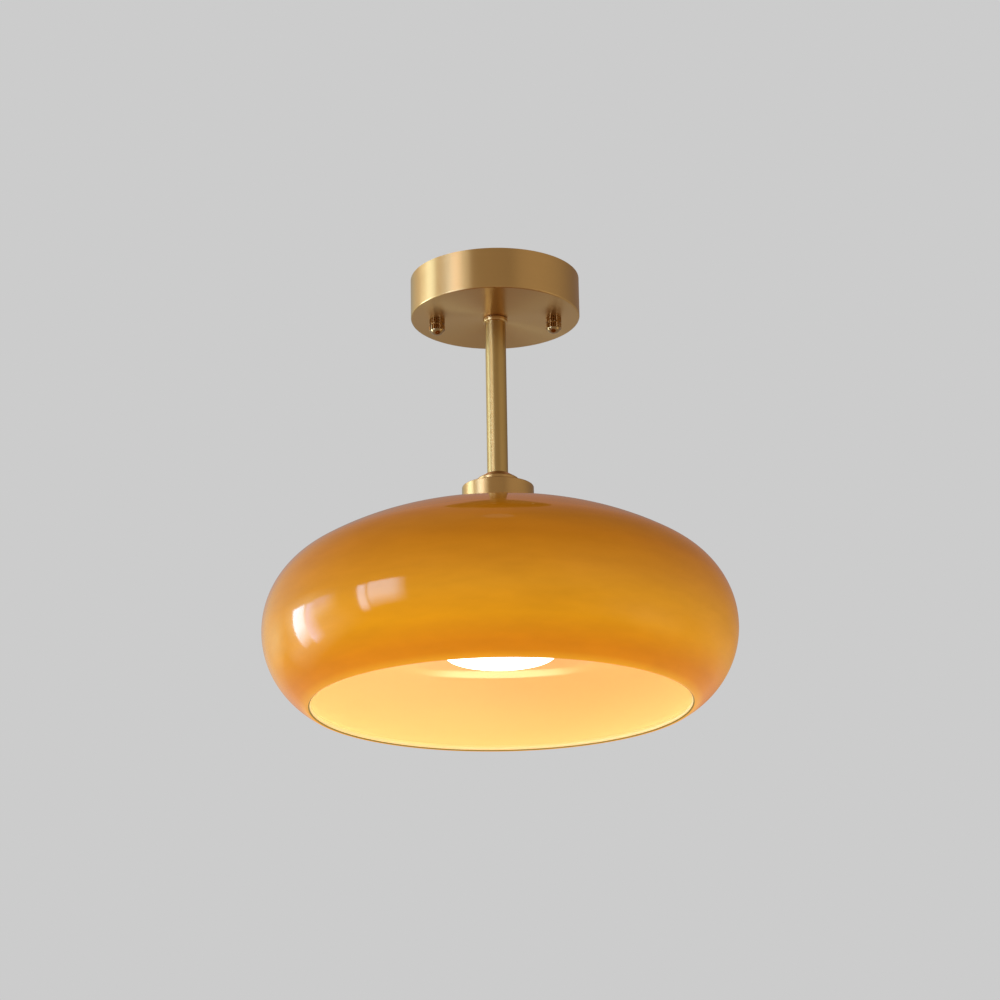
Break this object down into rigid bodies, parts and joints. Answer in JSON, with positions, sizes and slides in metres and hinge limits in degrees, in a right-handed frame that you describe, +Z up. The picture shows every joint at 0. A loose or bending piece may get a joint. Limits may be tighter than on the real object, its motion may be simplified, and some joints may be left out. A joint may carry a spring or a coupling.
{
  "type": "ceiling light",
  "caption": "Semi-flush ceiling light: flattened open amber glass shade on a short brass stem under a round canopy, with a screw-in lamp inside the shade.",
  "frame": {"origin": "middle of the ceiling plane, at the bracket's top face", "axes": "+Z up into the ceiling, +X along the bracket and its two nuts, seen from -Y"},
  "size_m": [0.3, 0.3, 0.2874],
  "materials": {
    "satin_brass": "turned satin brass",
    "zinc_steel": "zinc plated",
    "contact_brass": "plain brass",
    "amber_glass": "glossy amber outside over opal cream inside",
    "gasket_rubber": "clear grey silicone",
    "holder_plastic": "white",
    "block_plastic": "natural",
    "holder_ceramic": "unglazed white",
    "live_insulation": "brown",
    "neutral_insulation": "blue",
    "earth_insulation": "green and yellow",
    "bulb_cap_metal": "plated",
    "bulb_black": "black glass",
    "bulb_white": "white",
    "bulb_lit": "frosted white, lit",
    "board": "white solder mask",
    "board_parts": "black",
    "led_yellow": "phosphor"
  },
  "bodies": {
    "bracket": {"ceiling_bracket": "zinc_steel", "bracket_studs": "zinc_steel", "stud_lock_nuts": "zinc_steel", "earth_screw": "zinc_steel"},
    "fixture": {"canopy": "satin_brass", "earth_tag": "contact_brass", "stem_lock_washer": "zinc_steel", "stem_lock_nut": "zinc_steel", "upper_nipple": "zinc_steel", "lower_nipple": "zinc_steel", "stem": "satin_brass", "stem_collar": "satin_brass", "stem_neck": "satin_brass", "terminal_pad": "gasket_rubber", "terminal_block": "block_plastic", "terminal_tubes": "contact_brass", "terminal_screws": "zinc_steel", "holder_cap": "satin_brass", "upper_gasket": "gasket_rubber", "lampholder_dome": "holder_plastic", "lampholder_skirt": "holder_plastic", "ceramic_block": "holder_ceramic", "centre_contact": "contact_brass", "live_terminal": "contact_brass", "neutral_terminal": "contact_brass", "holder_screws": "zinc_steel", "socket_shell": "contact_brass", "live_wire": "live_insulation", "neutral_wire": "neutral_insulation", "earth_wire": "earth_insulation"},
    "left_nut": {"cap_nut_left": "satin_brass"},
    "right_nut": {"cap_nut_right": "satin_brass"},
    "shade": {"glass_shade": "amber_glass", "lower_gasket": "gasket_rubber"},
    "clamp_ring": {"shade_ring": "holder_plastic"},
    "bulb_tip": {"bulb_contact": "bulb_cap_metal"},
    "bulb": {"bulb_insulator": "bulb_black", "bulb_cap": "bulb_cap_metal", "bulb_body": "bulb_white", "bulb_diffuser": "bulb_lit", "led_board": "board", "led_chips": "led_yellow", "driver_board": "board", "driver_parts": "board_parts"}
  },
  "joints": [
    {"name": "canopy_drop", "type": "slide", "parent": "bracket", "child": "fixture", "axis": [0, 0, -1], "range_m": [0, 0.007]},
    {"name": "left_nut_turn", "type": "hinge", "parent": "fixture", "child": "left_nut", "pos_m": [-0.038, 0, -0.03], "axis": [0, 0, -1], "range_deg": [0, 3603.6]},
    {"name": "right_nut_turn", "type": "hinge", "parent": "fixture", "child": "right_nut", "pos_m": [0.038, 0, -0.03], "axis": [0, 0, -1], "range_deg": [0, 3603.6]},
    {"name": "shade_drop", "type": "slide", "parent": "fixture", "child": "shade", "axis": [0, 0, -1], "range_m": [0, 0.0075]},
    {"name": "ring_turn", "type": "hinge", "parent": "shade", "child": "clamp_ring", "pos_m": [0, 0, -0.172], "axis": [0, 0, -1], "range_deg": [0, 1081.08]},
    {"name": "bulb_drop", "type": "slide", "parent": "fixture", "child": "bulb_tip", "axis": [0, 0, -1], "range_m": [0, 0.01815]},
    {"name": "bulb_turn", "type": "hinge", "parent": "bulb_tip", "child": "bulb", "pos_m": [0, 0, -0.18], "axis": [0, 0, -1], "range_deg": [0, 1801.8]}
  ],
  "couplings": [
    {"joint": "left_nut_turn", "follows": "canopy_drop", "rad_per_m": 8976},
    {"joint": "right_nut_turn", "follows": "canopy_drop", "rad_per_m": 8976},
    {"joint": "ring_turn", "follows": "shade_drop", "rad_per_m": 2513.3},
    {"joint": "bulb_turn", "follows": "bulb_drop", "rad_per_m": 1731.4}
  ]
}
